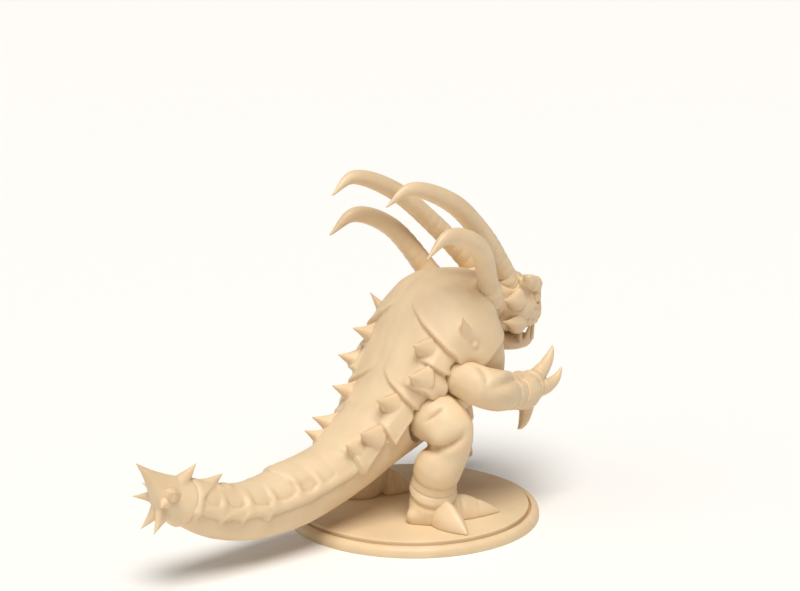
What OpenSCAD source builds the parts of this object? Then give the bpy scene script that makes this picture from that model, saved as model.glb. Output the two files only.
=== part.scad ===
// Display miniature: a horned, plate-backed lizard beast on a round two-step base.
// It is a glued kit: every casting is its own solid, and round pegs key each one into the next.
// Millimetres. +X is the way the beast faces, +Y its left, +Z up.
// The origin is the middle of the base's underside.

/* [Base] */
// Diameter of the base's lower step
base_d = 50; // [46:1:60]
// Height of the base's lower step
plinth_h = 2; // [1.8:0.1:3]
// Diameter of the raised disc that the beast stands on
insert_d = 46; // [44:0.5:46.5]
// How far the raised disc stands above the lower step
insert_rise = 0.6; // [0.4:0.1:1.2]
// Depth of the recess that holds the raised disc
insert_depth = 1.0; // [0.6:0.1:1.4]
// Rounding of the lower step's outer edge
edge_r = 1.2; // [0.6:0.1:1.5]

/* [Body] */
// Length of the torso casting, from tail face to neck face, measured along X
torso_l = 36; // [34:1:38]
// Width of the torso at its fullest section
torso_w = 26.5; // [25:0.5:28]
// Depth of the torso from back to belly at its fullest section
torso_t = 27.5; // [26:0.5:29]
// Height of the hips above the base
hip_h = 21; // [20:0.5:23]
// Number of armour plates along each flank
plates = 6; // [4:1:6]
// Thickness of the armour plates
plate_t = 1.1; // [0.8:0.1:1.6]
// Height of the spike on each plate
plate_spike_h = 3.6; // [2:0.2:5]

/* [Tail] */
// Length of the tail's front casting
tail_front_l = 20; // [16:1:24]
// Length of the tail's rear casting
tail_rear_l = 16; // [12:1:20]
// Diameter of the tail where the rear casting starts
tail_d = 11.5; // [10:0.5:13]
// Diameter of the knob at the tail's end
knob_d = 9.5; // [8:0.5:11]
// Length of the longest spike on the knob, from the knob's middle
knob_spike_l = 10.5; // [8:0.5:12]

/* [Head] */
// Length of the skull, from neck face to snout
skull_l = 15; // [13:0.5:17]
// Width of the skull across the cheeks
skull_w = 16; // [14:0.5:17]
// Height of the skull
skull_h = 14; // [12:0.5:15]
// Diameter of the eyes
eye_d = 3.2; // [2.4:0.2:4]
// Reach of the horns on the head, from root to tip
head_horn_l = 43; // [34:1:48]
// Reach of the horns on the shoulders, from root to tip
shoulder_horn_l = 27; // [20:1:32]
// Diameter of the horns at the root
horn_d = 4.4; // [3.6:0.2:5]

/* [Limbs] */
// Diameter of the thigh at its fullest
thigh_d = 10.8; // [10:0.2:12]
// Diameter of the calf at its fullest
calf_d = 9.6; // [8.6:0.2:10.4]
// Diameter of the forearm at its fullest
forearm_d = 7.6; // [7:0.2:8.4]
// Length of the forearm
forearm_l = 7; // [6:0.5:8.5]
// Reach of the toe claws from the middle of the foot
toe_reach = 12.4; // [10:0.2:13.4]
// Length of each finger claw
finger_claw_l = 6.6; // [5:0.2:8]

/* [Fit] */
// Diameter of the locating pegs
peg_d = 2.4; // [1.6:0.1:2.8]
// Length of the locating pegs
peg_l = 3; // [2:0.2:4]
// Clearance round a peg and between glued faces
fit_gap = 0.05; // [0.03:0.01:0.12]
// Clearance round each eye in its socket
eye_gap = 0.15; // [0.1:0.01:0.25]

/* [Hidden] */

cream = "#f0dcb4";
round_fn = 48;      // facets of the exact round parts, in previews only
blob_fn = 12;       // facets of the balls that the blended shapes are drawn round
skin_sides = 24;    // sides of the body's sections
limb_sides = 16;    // sides of a limb's sections
horn_sides = 12;    // sides of a horn's or claw's sections
steps = 3;          // rings drawn from one section to the next
deck_z = plinth_h + insert_rise;
hip_z = deck_z + hip_h;
up = [0, 0, 1];
ahead = [1, 0, 0];
left = [0, 1, 0];

// ---- vectors and curves ----

function unit(v) = v / norm(v);
function mix(a, b, t) = a + (b - a) * t;
function xyz(row) = [row[0], row[1], row[2]];
function flat(lists) = [for (l = lists) for (x = l) x];

// Catmull-Rom curve through rows of numbers, a share t of the way from row i to row i + 1
function between(rows, i, t) =
    let (a = rows[max(i - 1, 0)], b = rows[i], c = rows[i + 1], d = rows[min(i + 2, len(rows) - 1)])
    0.5 * (2 * b + (c - a) * t + (2 * a - 5 * b + 4 * c - d) * t * t + (3 * b - a - 3 * c + d) * t * t * t);
function smooth(rows) = [
    for (i = [0 : len(rows) - 2]) for (k = [0 : steps - 1]) between(rows, i, k / steps),
    rows[len(rows) - 1]
];

// A row is [x, y, z, half width, half height over, half height under]. Its ring is an oval across the path,
// as wide as the half width along the cross product of the path and the direction "over".
function round_row(at, r) = [at[0], at[1], at[2], r, r, r];
function heading(rows, i) = unit(xyz(rows[min(i + 1, len(rows) - 1)]) - xyz(rows[max(i - 1, 0)]));
function skin_point(rows, i, over, angle, along = 0, grow = 0) =
    let (t = heading(rows, i), w = unit(cross(t, over)), h = cross(w, t), row = rows[i])
    xyz(row) + t * along + w * (row[3] + grow) * cos(angle)
        + h * ((sin(angle) > 0 ? row[4] : row[5]) + grow) * sin(angle);
function ring(rows, i, over, sides, along = 0, grow = 0) =
    [for (k = [0 : sides - 1]) skin_point(rows, i, over, 360 * k / sides, along, grow)];

// A closed skin through rings that all have the same number of points
module skin(rings) {
    n = len(rings[0]);
    m = len(rings);
    polyhedron(
        points = flat(rings),
        faces = concat(
            [[for (k = [n - 1 : -1 : 0]) k]],
            [for (j = [0 : m - 2]) for (k = [0 : n - 1]) [j * n + k, (j + 1) * n + (k + 1) % n, (j + 1) * n + k]],
            [for (j = [0 : m - 2]) for (k = [0 : n - 1]) [j * n + k, j * n + (k + 1) % n, (j + 1) * n + (k + 1) % n]],
            [[for (k = [0 : n - 1]) (m - 1) * n + k]]
        )
    );
}

// One casting of a chain: the rows from first to last, each end drawn back by half the gap of a glued joint
module casting(rows, first, last, over, sides, grow = 0) {
    skin([for (i = [first : last]) ring(rows, i, over, sides,
        i == first ? fit_gap / 2 : i == last ? -fit_gap / 2 : 0, grow)]);
}

// A round spine of any kind, drawn through its own rows
module spike(rows, over = up, sides = horn_sides) {
    s = smooth(rows);
    skin([for (i = [0 : len(s) - 1]) ring(s, i, over, sides)]);
}

// A cylinder from a point along a direction
module rod(at, along, r, h) {
    d = unit(along);
    translate(at) rotate([0, acos(d[2]), atan2(d[1], d[0])]) cylinder(r = r, h = h, $fn = round_fn);
}

// A glued joint's peg starts inside its own casting. Its bore is wider and deeper by the gap.
module peg(at, along, r = peg_d / 2) { rod(at - unit(along) * peg_l / 2, along, r, 1.5 * peg_l); }
module peg_bore(at, along, r = peg_d / 2) { rod(at - unit(along), along, r + fit_gap, peg_l + 1 + fit_gap); }

// The left side is drawn as it is, and the right side is its mirror image
module on_side(side) { if (side > 0) children(); else mirror([0, 1, 0]) children(); }
module on_both_sides() { children(); mirror([0, 1, 0]) children(); }

// ---- the body's centre line, from the tail's end to the snout ----

torso_rear_x = -20;
neck_x = torso_rear_x + torso_l;
torso_rows = [for (s = [
    // along the length, height over the hips, width, back and belly, each as a share of the torso's own sizes
    [0, -0.35, 0.46, 0.21, 0.25],
    [0.17, -0.21, 0.52, 0.2, 0.29],
    [0.39, 0.01, 0.68, 0.26, 0.39],
    [0.64, 0.27, 0.88, 0.43, 0.5],
    [0.82, 0.47, 0.96, 0.5, 0.56],
    [0.94, 0.56, 0.73, 0.38, 0.45],
    [1, 0.58, 0.56, 0.29, 0.3]
]) [torso_rear_x + s[0] * torso_l, 0, hip_z + s[1] * torso_t, s[2] * torso_w / 2, s[3] * torso_t, s[4] * torso_t]];
tail_joint_x = torso_rear_x - tail_front_l;
tail_end_x = tail_joint_x - tail_rear_l;
tail_sag = 13.4;    // how far the tail's middle hangs under the hips
tail_rows = [
    [tail_end_x, 0, hip_z - tail_sag + 5.2, tail_d * 0.36, tail_d * 0.37, tail_d * 0.37],
    [mix(tail_joint_x, tail_end_x, 0.55), 0, hip_z - tail_sag + 1.6, tail_d * 0.44, tail_d * 0.44, tail_d * 0.44],
    [tail_joint_x, 0, hip_z - tail_sag, tail_d / 2, tail_d / 2, tail_d / 2],
    [mix(torso_rear_x, tail_joint_x, 0.5), 0, hip_z - tail_sag + 1, 6.3, 6.3, 6.6]
];
neck_z = torso_rows[len(torso_rows) - 1][2];
skull_rows = [
    [neck_x + 0.22 * skull_l, 0, neck_z + 0.2, 0.48 * skull_w, 0.48 * skull_h, 0.44 * skull_h],
    [neck_x + 0.5 * skull_l, 0, neck_z - 0.2, skull_w / 2, skull_h / 2, 0.44 * skull_h],
    [neck_x + 0.78 * skull_l, 0, neck_z - 2, 0.41 * skull_w, 0.42 * skull_h, 0.38 * skull_h],
    [neck_x + 0.93 * skull_l, 0, neck_z - 3.8, 0.3 * skull_w, 0.27 * skull_h, 0.27 * skull_h],
    [neck_x + skull_l, 0, neck_z - 5, 0.16 * skull_w, 0.12 * skull_h, 0.13 * skull_h]
];
spine = smooth(concat(tail_rows, torso_rows, skull_rows));
tail_joint_i = 2 * steps;
torso_rear_i = len(tail_rows) * steps;
neck_i = torso_rear_i + (len(torso_rows) - 1) * steps;
snout_i = len(spine) - 1;

module tail_front_form(grow = 0) { casting(spine, tail_joint_i, torso_rear_i, up, skin_sides, grow); }
module tail_rear_form(grow = 0) { casting(spine, 0, tail_joint_i, up, skin_sides, grow); }
module torso_form(grow = 0) { casting(spine, torso_rear_i, neck_i, up, skin_sides, grow); }
module skull_form(grow = 0) { casting(spine, neck_i, snout_i, up, skin_sides, grow); }

// ---- base ----

module base_plinth() {
    color(cream) difference() {
        rotate_extrude($fn = 2 * round_fn) difference() {
            square([base_d / 2, plinth_h]);
            translate([base_d / 2 - edge_r, plinth_h - edge_r]) difference() {
                square(edge_r + 1);
                circle(edge_r, $fn = round_fn);
            }
        }
        translate([0, 0, plinth_h - insert_depth])
            cylinder(d = insert_d + 2 * fit_gap, h = insert_depth + 1, $fn = 2 * round_fn);
        on_both_sides() rod([foot_x, foot_y, plinth_h - insert_depth - foot_peg_bite], up, peg_d / 2 + fit_gap, plinth_h);
    }
}

module base_insert() {
    color(cream) difference() {
        translate([0, 0, plinth_h - insert_depth])
            cylinder(d = insert_d, h = insert_depth + insert_rise, $fn = 2 * round_fn);
        on_both_sides() rod([foot_x, foot_y, 0], up, peg_d / 2 + fit_gap, deck_z + 1);
    }
}

// ---- legs ----

hip_x = -2.6;
hip_seat_y = 5.5;         // the round pockets for the thighs start this far from the middle
thigh_z = hip_z - 1.2;
knee_at = [hip_x + 0.2, 12.5, thigh_z - 6];
foot_x = -3.8;
foot_y = 10;
ankle_z = deck_z + 6.4;
foot_peg_bite = 0.5;      // how far the foot's peg reaches into the plinth
leg = smooth([
    round_row([hip_x, hip_seat_y, thigh_z], 0.43 * thigh_d),
    round_row([hip_x, hip_seat_y + 4, thigh_z], 0.49 * thigh_d),
    round_row([hip_x + 0.5, hip_seat_y + 6.8, thigh_z - 2.1], 0.46 * thigh_d),
    round_row(knee_at, 0.39 * thigh_d),
    round_row(mix(knee_at, [foot_x, foot_y, ankle_z], 0.45) + [-0.9, 0, 0], calf_d / 2),
    round_row([foot_x, foot_y, ankle_z], 0.42 * calf_d)
]);
knee_i = 3 * steps;
ankle_i = len(leg) - 1;
knee_way = heading(leg, knee_i);
ankle_way = heading(leg, ankle_i);

module hip_pocket() { rod([hip_x, hip_seat_y - 0.25, thigh_z], left, thigh_d / 2 + fit_gap, torso_w); }

module thigh(side) {
    color(cream) on_side(side) difference() {
        union() {
            casting(leg, 0, knee_i, ahead, limb_sides);
            peg([hip_x, hip_seat_y, thigh_z], -left);
        }
        peg_bore(xyz(leg[knee_i]), -knee_way);
    }
}

module shin(side) {
    color(cream) on_side(side) union() {
        difference() {
            casting(leg, knee_i, ankle_i, ahead, limb_sides);
            rod(xyz(leg[knee_i]) + knee_way * fit_gap * 0.1, -knee_way, thigh_d, 5);
        }
        peg(xyz(leg[knee_i]), -knee_way);
        peg(xyz(leg[ankle_i]), ankle_way);
    }
}

// ---- feet ----

toe_turns = [98, 30, -30];         // which way each toe points, in degrees outwards from straight ahead
toe_shares = [0.93, 1.05, 0.8];       // how far each claw reaches, as a share of the longest
toe_root = 4.6;                    // from the foot's middle to where a claw leaves its toe
module blob(at, r, turn = 0) { translate(at) rotate(turn) sphere(r, $fn = blob_fn); }
ankle_turn = 11;     // sets the ankle's facets apart from the toes'
function toe_way(i) = [cos(toe_turns[i]), sin(toe_turns[i]), 0];
function toe_at(i, reach, z) = [foot_x, foot_y, deck_z + z] + toe_way(i) * reach;

module foot(side) {
    color(cream) on_side(side) union() {
        difference() {
            union() {
                hull() {
                    blob([foot_x, foot_y, ankle_z], 0.46 * calf_d, ankle_turn);
                    blob([foot_x - 1, foot_y, deck_z + 1.5], 0.44 * calf_d, ankle_turn);
                }
                hull() {
                    blob([foot_x - 1.3, foot_y, deck_z + 1.4], 0.4 * calf_d);
                    blob([foot_x - 4.6, foot_y - 0.6, deck_z + 1.2], 1.6);
                }
                for (i = [0 : 2]) {
                    hull() {
                        blob(toe_at(i, 0.4, ankle_z - deck_z - 1.4), 3.3, toe_turns[i]);
                        blob(toe_at(i, toe_root - 1.4, 1.6), 2.5, toe_turns[i]);
                    }
                    hull() {
                        blob(toe_at(i, toe_root - 1.8, 1.7), 2.5, toe_turns[i]);
                        blob(toe_at(i, toe_root + 0.4, 1.5), 2.2, toe_turns[i]);
                    }
                }
            }
            translate([foot_x, foot_y, deck_z + fit_gap - 20]) cylinder(r = 20, h = 20, $fn = round_fn);
            rod(xyz(leg[ankle_i]) - ankle_way * fit_gap / 2, -ankle_way, 8, 8);
            peg_bore(xyz(leg[ankle_i]), ankle_way);
            for (i = [0 : 2]) {
                rod(toe_at(i, toe_root, 1.5), toe_way(i), 1 + fit_gap, 8);
                rod(toe_at(i, toe_root + 1.6, 1.5), toe_way(i), 4, 8);
            }
        }
        rod([foot_x, foot_y, plinth_h - insert_depth - foot_peg_bite + fit_gap], up, peg_d / 2, 3);
    }
}

module toe_claws(side) {
    color(cream) on_side(side) difference() {
        for (i = [0 : 2]) {
            tip = toe_reach * toe_shares[i];
            skin([for (s = [[0, 2.8, 3.9], [0.35, 2.6, 3.2], [0.7, 1.6, 1.7], [1, 0.25, 0.3]])
                ring([concat(toe_at(i, mix(toe_root + 1.7, tip, s[0]), 1), [s[1], s[2], 1]),
                    concat(toe_at(i, mix(toe_root + 1.7, tip, s[0]) + 1, 1), [s[1], s[2], 1])], 0, up, horn_sides)]);
            rod(toe_at(i, toe_root + 0.1, 1.5), toe_way(i), 1, 4);
        }
        translate([foot_x, foot_y, 0]) cylinder(r = 20, h = deck_z + fit_gap, $fn = round_fn);
    }
}

// ---- arms ----

shoulder_x = 2.4;
shoulder_seat_y = 8.2;
shoulder_z = hip_z + 6.2;
elbow_at = [shoulder_x + 4.6, shoulder_seat_y + 7.3, shoulder_z - 2.3];
wrist_at = elbow_at + unit([7.8, -1.8, -3]) * forearm_l;
arm = smooth([
    round_row([shoulder_x, shoulder_seat_y, shoulder_z], 0.46 * forearm_d),
    round_row([shoulder_x, shoulder_seat_y + 1.8, shoulder_z], 0.48 * forearm_d),
    round_row([shoulder_x, shoulder_seat_y + 3.6, shoulder_z], 0.5 * forearm_d),
    round_row(elbow_at + [-3.6, -0.2, 1.4], 0.53 * forearm_d),
    round_row(elbow_at, 0.54 * forearm_d),
    round_row(mix(elbow_at, wrist_at, 0.45), forearm_d / 2),
    round_row(wrist_at, 0.37 * forearm_d)
]);
elbow_i = 4 * steps;
wrist_i = len(arm) - 1;
wrist_way = heading(arm, wrist_i);

module shoulder_pocket() { rod([shoulder_x, shoulder_seat_y, shoulder_z], left, 0.56 * forearm_d + fit_gap, torso_w); }

module upper_arm(side) {
    color(cream) on_side(side) difference() {
        union() {
            casting(arm, 0, elbow_i, up, limb_sides);
            peg([shoulder_x, shoulder_seat_y, shoulder_z], -left);
        }
        peg_bore(xyz(arm[elbow_i]), -heading(arm, elbow_i));
    }
}

module forearm(side) {
    color(cream) on_side(side) difference() {
        union() {
            casting(arm, elbow_i, wrist_i, up, limb_sides);
            peg(xyz(arm[elbow_i]), -heading(arm, elbow_i));
        }
        peg_bore(wrist_at, -wrist_way);
    }
}

// ---- hands ----

palm_at = wrist_at + [4.4, -1.3, -0.6];
// Where each finger ends, and where its claw bends and ends, seen from the palm. The last one is the thumb.
finger_ends = [[5.6, -1.4, 2.2], [5.4, -0.5, -0.3], [2.2, -1.2, -2.8]];
claw_bends = [[0.85, -0.1, 0.5], [1, 0, 0], [-0.1, 0, -1]];
claw_tips = [[0.35, -0.1, 0.85], [0.5, 0, 0.95], [-0.6, 0, -0.3]];
finger_r = 1.75;
function finger_end(i) = palm_at + finger_ends[i];
function finger_way(i) = unit(claw_bends[i]);

module hand(side) {
    color(cream) on_side(side) union() {
        difference() {
            union() {
                hull() {
                    blob(wrist_at, 0.4 * forearm_d);
                    blob(palm_at, 0.5 * forearm_d);
                }
                hull() {
                    blob(palm_at, 0.5 * forearm_d);
                    blob(palm_at + [1.6, -0.4, 1.2], 2.2);
                }
                for (i = [0 : 2]) {
                    hull() {
                        blob(palm_at + finger_ends[i] * 0.2, 2.4);
                        blob(palm_at + finger_ends[i] * 0.6, 2.05);
                    }
                    hull() {
                        blob(palm_at + finger_ends[i] * 0.6, 2.05);
                        blob(finger_end(i), finger_r);
                    }
                }
            }
            rod(wrist_at + wrist_way * fit_gap / 2, -wrist_way, 8, 8);
            for (i = [0 : 2]) {
                rod(finger_end(i) - finger_way(i) * 1.5, finger_way(i), 0.7 + fit_gap, 4);
                rod(finger_end(i) + finger_way(i) * 0.6, finger_way(i), 3, 3);
            }
        }
        peg(wrist_at, -wrist_way);
    }
}

module finger_claws(side) {
    color(cream) on_side(side) for (i = [0 : 2]) {
        root = finger_end(i) + finger_way(i) * (0.8 + fit_gap);
        spike([
            round_row(root, finger_r * 0.86),
            round_row(root + claw_bends[i] * finger_claw_l * 0.5, finger_r * 0.66),
            round_row(root + (claw_bends[i] * 0.5 + claw_tips[i] * 0.5) * finger_claw_l, 0.2)
        ], left);
        rod(finger_end(i) - finger_way(i) * 1.4, finger_way(i), 0.7, 2.6);
    }
}

// ---- torso and its armour ----

shoulder_horn_at = [12.6, 8, hip_z + 20.6];
shoulder_horn_way = unit([-3.4, 2.6, 7]);
guard_at = [11.6, 0, hip_z - 3.4];
guard_way = [0.12, 0, -1];

module torso() {
    color(cream) difference() {
        torso_form();
        peg_bore(xyz(spine[torso_rear_i]), heading(spine, torso_rear_i));
        peg_bore(xyz(spine[neck_i]), -heading(spine, neck_i));
        peg_bore(guard_at + unit(guard_way) * 0.5, -guard_way);
        on_both_sides() {
            hip_pocket();
            shoulder_pocket();
            peg_bore([hip_x, hip_seat_y, thigh_z], -left);
            peg_bore([shoulder_x, shoulder_seat_y, shoulder_z], -left);
            rod(shoulder_horn_at - shoulder_horn_way * 2.6, shoulder_horn_way, horn_d / 2 + fit_gap, 8);
        }
    }
}

// The ring of the torso that each plate is centred on, and how far round its spike stands
function plate_ring(k) = torso_rear_i + floor(mix(11.5, 1.5, k / (plates - 1)));
function spike_turn(k) = k == 0 ? 26 : 42;
plate_top = 76;      // where round the torso the plates start and end, in degrees over the side
plate_low = 12;
plate_lap = 0.3;     // how far each plate's raised rear edge lies over the plate behind it
module plate_shell(k) {
    mid = plate_ring(k);
    front = k == 0 ? mid + 1 : plate_ring(k - 1) - 1;
    points = [for (depth = [0, 1]) for (i = [mid - 1 : front]) for (share = [0 : 0.25 : 1])
        skin_point(spine, i, up,
            mix(plate_top + (i < mid ? 3 : 0), plate_low + (i == mid ? 0 : i < mid ? 16 : 8), share),
            i < mid ? -plate_lap : 0,
            depth > 0 ? (i < mid ? -2.2 : -2.5) : plate_t * mix(0.35, 1, share) * (i < mid ? 1.2 : 1))];
    hull() polyhedron(points, [[for (n = [0 : len(points) - 1]) n]]);
}
module plate_spike(k, lean = -1.2) {
    turn = spike_turn(k);
    at = skin_point(spine, plate_ring(k), up, turn, 0, plate_t - 0.7);
    out = unit(skin_point(spine, plate_ring(k), up, turn, 0, 3) - skin_point(spine, plate_ring(k), up, turn));
    hull() {
        blob(at, 1.8);
        blob(at + out * plate_spike_h + [lean, 0, 1], 0.25);
    }
}
module flank_plates(side) {
    color(cream) on_side(-side) difference() {
        for (k = [0 : plates - 1]) {
            plate_shell(k);
            plate_spike(k);
        }
        torso_form(fit_gap);
        rod(xyz(spine[torso_rear_i]), -heading(spine, torso_rear_i), torso_w, 2);
        mirror([0, 1, 0]) {
            hip_pocket();
            shoulder_pocket();
            rod(shoulder_horn_at, shoulder_horn_way, horn_d / 2 + fit_gap, 8);
        }
    }
}

module loin_guard() {
    color(cream) union() {
        difference() {
            for (k = [0 : 3]) {
                hull() for (y = [-1, 1]) {
                    blob(guard_at + guard_way * (2.7 * k) + [0.9, y * (2.2 - 0.35 * k), 0], 1.1);
                    blob(guard_at + guard_way * (2.7 * k + 2.6) + [1.7, y * (2 - 0.4 * k), 0], 0.8);
                }
                hull() {
                    blob(guard_at + guard_way * (2.7 * k) + [0.9, 0, 0], 1.3);
                    blob(guard_at + guard_way * (2.7 * k + 3) + [2.2, 0, 0], 0.5);
                }
            }
            torso_form(fit_gap);
        }
        peg(guard_at + unit(guard_way) * 0.5, -guard_way);
    }
}

// ---- tail ----

module tail_front() {
    color(cream) difference() {
        union() {
            tail_front_form();
            peg(xyz(spine[torso_rear_i]), heading(spine, torso_rear_i));
        }
        peg_bore(xyz(spine[tail_joint_i]), heading(spine, tail_joint_i));
    }
}

module tail_rear() {
    crest = skin_point(spine, steps, up, 90, 0, -0.8);
    color(cream) difference() {
        union() {
            tail_rear_form();
            peg(xyz(spine[tail_joint_i]), heading(spine, tail_joint_i));
            rod(crest, [-0.2, 0, 1], 1.9, 0.9);
            translate(crest) rotate([0, -11, 0]) cylinder(r1 = 1.9, r2 = 0.3, h = 4.4, $fn = round_fn);
        }
        peg_bore(xyz(spine[0]), heading(spine, 0));
    }
}

knob_way = -heading(spine, 0);
knob_up = unit(cross(left, knob_way));
knob_at = xyz(spine[0]) + knob_way * 3.9;
// Which way each spike of the knob points: round the tail, then backwards, in degrees, with its share of the length
knob_spikes = [
    [90, 56, 0.98], [90, -24, 0.78], [8, 45, 0.62], [172, 45, 0.62],
    [-35, 35, 0.58], [215, 35, 0.58], [-70, 10, 0.64], [250, 10, 0.64]
];
module tail_knob() {
    color(cream) union() {
        difference() {
            union() {
                hull() {
                    blob(knob_at, knob_d / 2);
                    rod(xyz(spine[0]), knob_way, spine[0][3] + 0.6, 2);
                }
                for (s = knob_spikes) {
                    d = knob_way * sin(s[1]) + (knob_up * sin(s[0]) + left * cos(s[0])) * cos(s[1]);
                    hull() {
                        blob(knob_at + d * knob_d * 0.22, 2.3);
                        blob(knob_at + d * knob_spike_l * s[2], 0.25);
                    }
                }
            }
            rod(xyz(spine[0]) + knob_way * fit_gap / 2, -knob_way, 12, 8);
        }
        peg(xyz(spine[0]), -knob_way);
    }
}

// ---- head ----

eye_at = [neck_x + 0.78 * skull_l, 0.33 * skull_w, neck_z + 1.2];
head_horn_at = [neck_x + 0.3 * skull_l, 0.26 * skull_w, neck_z + 0.4 * skull_h];
head_horn_way = unit([-3.2, 1.4, 6]);
jaw_peg_at = [neck_x + 0.35 * skull_l, 0, neck_z - 0.4 * skull_h];
cheeks = [
    [neck_x + 0.26 * skull_l, 0.46 * skull_w, neck_z + 1.8],
    [neck_x + 0.3 * skull_l, 0.44 * skull_w, neck_z - 2.8]
];
cheek_way = unit([-2.4, 3, 1.4]);

// All that lies behind the torso's neck face
module behind_the_neck() {
    rod(xyz(spine[neck_i]) + heading(spine, neck_i) * fit_gap, -heading(spine, neck_i), torso_w, skull_l);
}
module eye_socket() { translate(eye_at) rotate([90, 0, 0]) sphere(eye_d / 2 + eye_gap, $fn = round_fn); }

module skull() {
    color(cream) difference() {
        union() {
            skull_form();
            peg(xyz(spine[neck_i]), -heading(spine, neck_i));
        }
        peg_bore(jaw_peg_at, up);
        on_both_sides() {
            eye_socket();
            rod(head_horn_at - head_horn_way * 1.6, head_horn_way, horn_d / 2 + fit_gap, 8);
            for (c = cheeks) rod(c - cheek_way * 1.2, cheek_way, 1.2 + fit_gap, 5);
        }
    }
}

module eyes() { color(cream) on_both_sides() translate(eye_at) sphere(eye_d / 2, $fn = round_fn); }

module cheek_spikes() {
    color(cream) on_both_sides() for (c = cheeks) {
        rod(c - cheek_way * 1.1, cheek_way, 1.2, 2.2);
        spike([
            round_row(c + cheek_way, 1.3),
            round_row(c + cheek_way * 3, 0.95),
            round_row(c + cheek_way * 5 + [-0.8, 0, 0.6], 0.2)
        ]);
    }
}

brow = [
    round_row([neck_x + 0.52 * skull_l, 0.37 * skull_w, neck_z + 0.4 * skull_h], 1.6),
    round_row([neck_x + 0.68 * skull_l, 0.37 * skull_w, neck_z + 0.33 * skull_h], 2),
    round_row([neck_x + 0.86 * skull_l, 0.25 * skull_w, neck_z + 0.16 * skull_h], 1.5),
    round_row([neck_x + 0.94 * skull_l, 0.12 * skull_w, neck_z], 1.1)
];
module brow_ridges() {
    color(cream) difference() {
        on_both_sides() {
            for (i = [0 : 2]) hull() {
                blob(xyz(brow[i]), brow[i][3]);
                blob(xyz(brow[i + 1]), brow[i + 1][3]);
            }
            hull() {
                blob(xyz(brow[1]), 1.6);
                blob(xyz(brow[1]) + [-1.4, 1.2, 2.6], 0.3);
            }
        }
        skull_form(fit_gap);
        on_both_sides() {
            eye_socket();
            rod(head_horn_at, head_horn_way, horn_d / 2 + 0.7, 8);
        }
    }
}

jaw_rows = smooth([
    [neck_x + 0.12 * skull_l, 0, neck_z - 0.42 * skull_h, 0.32 * skull_w, 1.6, 1.6],
    [neck_x + 0.4 * skull_l, 0, neck_z - 0.54 * skull_h, 0.4 * skull_w, 1.8, 2],
    [neck_x + 0.72 * skull_l, 0, neck_z - 0.6 * skull_h, 0.33 * skull_w, 1.5, 1.7],
    [neck_x + 0.96 * skull_l, 0, neck_z - 0.62 * skull_h, 0.17 * skull_w, 1, 1.1]
]);
module lower_jaw() {
    color(cream) union() {
        difference() {
            union() {
                skin([for (i = [0 : len(jaw_rows) - 1]) ring(jaw_rows, i, up, skin_sides)]);
                on_both_sides() for (i = [4, 6, 8, 9]) {
                    at = skin_point(jaw_rows, i, up, 155, 0, -0.5);
                    hull() {
                        blob(at, 0.8);
                        blob(at + [0.6, 0.4, 3], 0.25);
                    }
                }
            }
            skull_form(fit_gap);
            behind_the_neck();
        }
        peg(jaw_peg_at, up);
    }
}

// ---- horns ----

module horn(root, way, reach, path, shares) {
    start = root + way * 2.6;
    spike(concat(
        [round_row(start, horn_d / 2)],
        [for (i = [0 : len(path) - 1]) round_row(start + path[i] * reach, horn_d / 2 * shares[i])]
    ), left);
    rod(root - way * 1.5, way, horn_d / 2, 4.3);
}
module head_horn(side) {
    color(cream) on_side(side) horn(head_horn_at, head_horn_way, head_horn_l,
        [[-0.18, 0.05, 0.2], [-0.39, 0.08, 0.375], [-0.63, 0.08, 0.47], [-0.77, 0.07, 0.41]], [0.88, 0.84, 0.72, 0.12]);
}
module shoulder_horn(side) {
    color(cream) on_side(side) horn(shoulder_horn_at - shoulder_horn_way, shoulder_horn_way, shoulder_horn_l,
        [[-0.22, 0.13, 0.32], [-0.54, 0.17, 0.46], [-0.77, 0.19, 0.34]], [0.86, 0.74, 0.12]);
}

// ---- every node, drawn on its own or all together ----

base_plinth();
base_insert();
torso();
flank_plates(-1);  // flank_plates_right
flank_plates(1);  // flank_plates_left
tail_front();
tail_rear();
tail_knob();
skull();
lower_jaw();
brow_ridges();
eyes();
cheek_spikes();
head_horn(-1);  // head_horn_right
head_horn(1);  // head_horn_left
shoulder_horn(-1);  // shoulder_horn_right
shoulder_horn(1);  // shoulder_horn_left
upper_arm(-1);  // upper_arm_right
upper_arm(1);  // upper_arm_left
forearm(-1);  // forearm_right
forearm(1);  // forearm_left
hand(-1);  // hand_right
hand(1);  // hand_left
finger_claws(-1);  // finger_claws_right
finger_claws(1);  // finger_claws_left
thigh(-1);  // thigh_right
thigh(1);  // thigh_left
shin(-1);  // shin_right
shin(1);  // shin_left
foot(-1);  // foot_right
foot(1);  // foot_left
toe_claws(-1);  // toe_claws_right
toe_claws(1);  // toe_claws_left
loin_guard();
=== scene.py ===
"""A display miniature cast in cream resin: a horned, plate-backed lizard beast on a round two-step base.

Every length is in millimetres until a mesh is made, where MM turns it to metres. +X is the way the
beast faces, +Y its left, +Z up, as in the CAD model. Of two paired castings the right one is made,
and the left one is its mirrored copy.
"""

import math

import bmesh
import bpy
import numpy as np
from mathutils import Matrix, Vector, noise
from mathutils.bvhtree import BVHTree


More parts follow.
